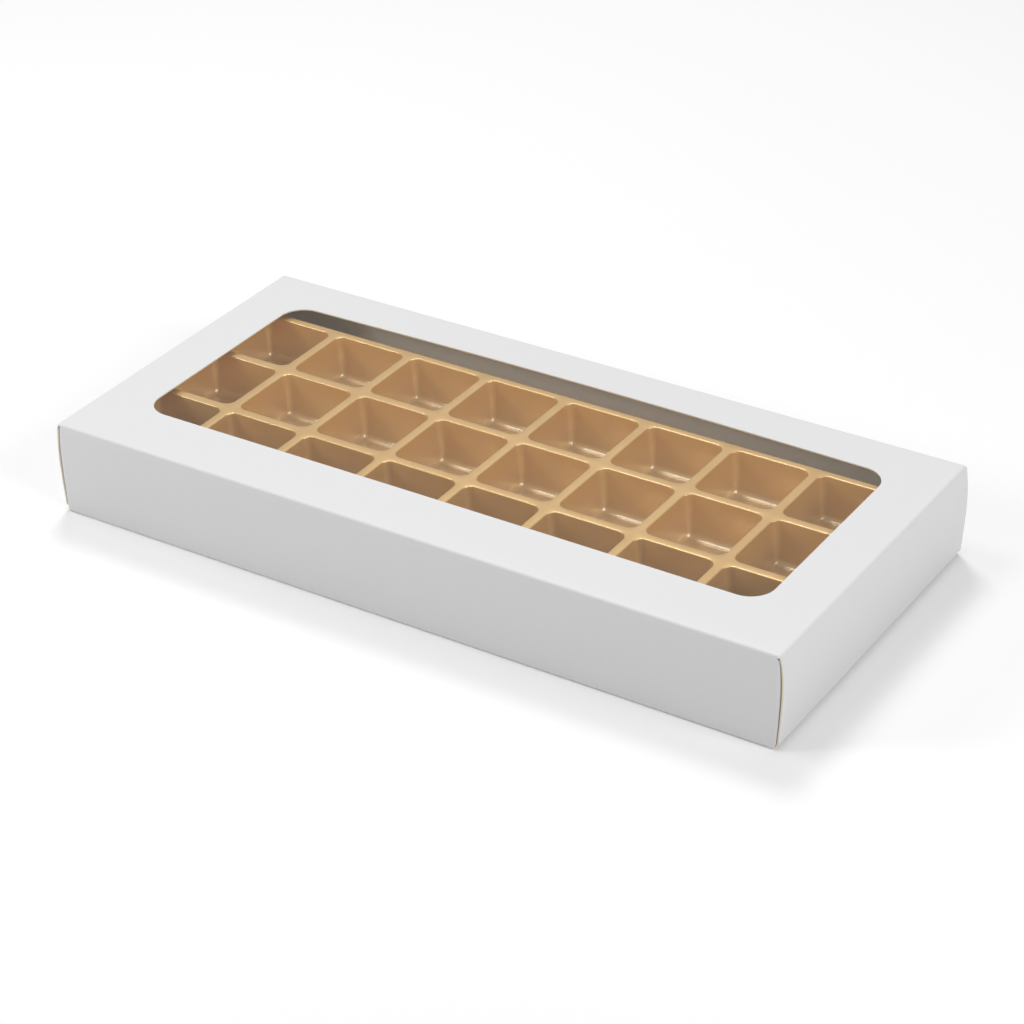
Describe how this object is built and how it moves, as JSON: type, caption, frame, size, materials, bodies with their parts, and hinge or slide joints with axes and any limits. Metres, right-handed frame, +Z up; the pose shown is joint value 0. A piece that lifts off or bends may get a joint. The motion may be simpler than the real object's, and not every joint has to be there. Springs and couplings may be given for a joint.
{
  "type": "chocolate box",
  "caption": "Long low white folding carton with a clear film window in its top, tuck-in ends and a gold moulded tray of square cavities that lies loose inside.",
  "frame": {"origin": "centre of the carton's footprint, on the surface that it stands on", "axes": "+X along the length, +Y from the front wall to the back wall, +Z up through the window"},
  "size_m": [0.267, 0.125, 0.033],
  "materials": {
    "board_face": "matt",
    "board_flap": "matt",
    "glue": "satin",
    "clear_film": "clear gloss",
    "gold_tray": "satin metallic gold"
  },
  "bodies": {
    "carton": {"top_panel": "board_face", "front_wall": "board_face", "back_wall": "board_face", "bottom_panel": "board_face", "glue_flap": "board_flap", "seam_glue": "glue", "window_film": "clear_film", "film_glue": "glue"},
    "tray": {"tray_column_1": "gold_tray", "tray_column_2": "gold_tray", "tray_column_3": "gold_tray", "tray_column_4": "gold_tray", "tray_column_5": "gold_tray", "tray_column_6": "gold_tray", "tray_column_7": "gold_tray", "tray_column_8": "gold_tray"},
    "left_closure": {"left_closure": "board_face"},
    "left_tuck": {"left_tuck_flap": "board_flap"},
    "left_front_dust": {"left_front_dust_flap": "board_flap"},
    "left_back_dust": {"left_back_dust_flap": "board_flap"},
    "right_closure": {"right_closure": "board_face"},
    "right_tuck": {"right_tuck_flap": "board_flap"},
    "right_front_dust": {"right_front_dust_flap": "board_flap"},
    "right_back_dust": {"right_back_dust_flap": "board_flap"}
  },
  "joints": [
    {"name": "tray_slide", "type": "slide", "parent": "carton", "child": "tray", "axis": [0, 1, 0], "range_m": [-0.0028, 0.0164]},
    {"name": "left_closure_hinge", "type": "hinge", "parent": "carton", "child": "left_closure", "pos_m": [-0.13228, 0, 0.03277], "axis": [0, 1, 0], "range_deg": [0, 160]},
    {"name": "left_tuck_hinge", "type": "hinge", "parent": "left_closure", "child": "left_tuck", "pos_m": [-0.13228, 0, 0.00122], "axis": [0, 1, 0], "range_deg": [0, 24]},
    {"name": "left_front_dust_hinge", "type": "hinge", "parent": "carton", "child": "left_front_dust", "pos_m": [-0.13153, -0.06227, 0.0165], "axis": [0, 0, 1], "range_deg": [0, 80]},
    {"name": "left_back_dust_hinge", "type": "hinge", "parent": "carton", "child": "left_back_dust", "pos_m": [-0.13153, 0.06227, 0.0165], "axis": [0, 0, -1], "range_deg": [0, 80]},
    {"name": "right_closure_hinge", "type": "hinge", "parent": "carton", "child": "right_closure", "pos_m": [0.13228, 0, 0.03277], "axis": [0, -1, 0], "range_deg": [0, 160]},
    {"name": "right_tuck_hinge", "type": "hinge", "parent": "right_closure", "child": "right_tuck", "pos_m": [0.13228, 0, 0.00122], "axis": [0, -1, 0], "range_deg": [0, 24]},
    {"name": "right_front_dust_hinge", "type": "hinge", "parent": "carton", "child": "right_front_dust", "pos_m": [0.13153, -0.06227, 0.0165], "axis": [0, 0, -1], "range_deg": [0, 80]},
    {"name": "right_back_dust_hinge", "type": "hinge", "parent": "carton", "child": "right_back_dust", "pos_m": [0.13153, 0.06227, 0.0165], "axis": [0, 0, 1], "range_deg": [0, 80]}
  ],
  "couplings": [
    {"joint": "left_tuck_hinge", "follows": "left_closure_hinge", "ratio": 0.15},
    {"joint": "left_front_dust_hinge", "follows": "left_closure_hinge", "ratio": 0.5},
    {"joint": "left_back_dust_hinge", "follows": "left_closure_hinge", "ratio": 0.5},
    {"joint": "right_tuck_hinge", "follows": "right_closure_hinge", "ratio": 0.15},
    {"joint": "right_front_dust_hinge", "follows": "right_closure_hinge", "ratio": 0.5},
    {"joint": "right_back_dust_hinge", "follows": "right_closure_hinge", "ratio": 0.5}
  ]
}
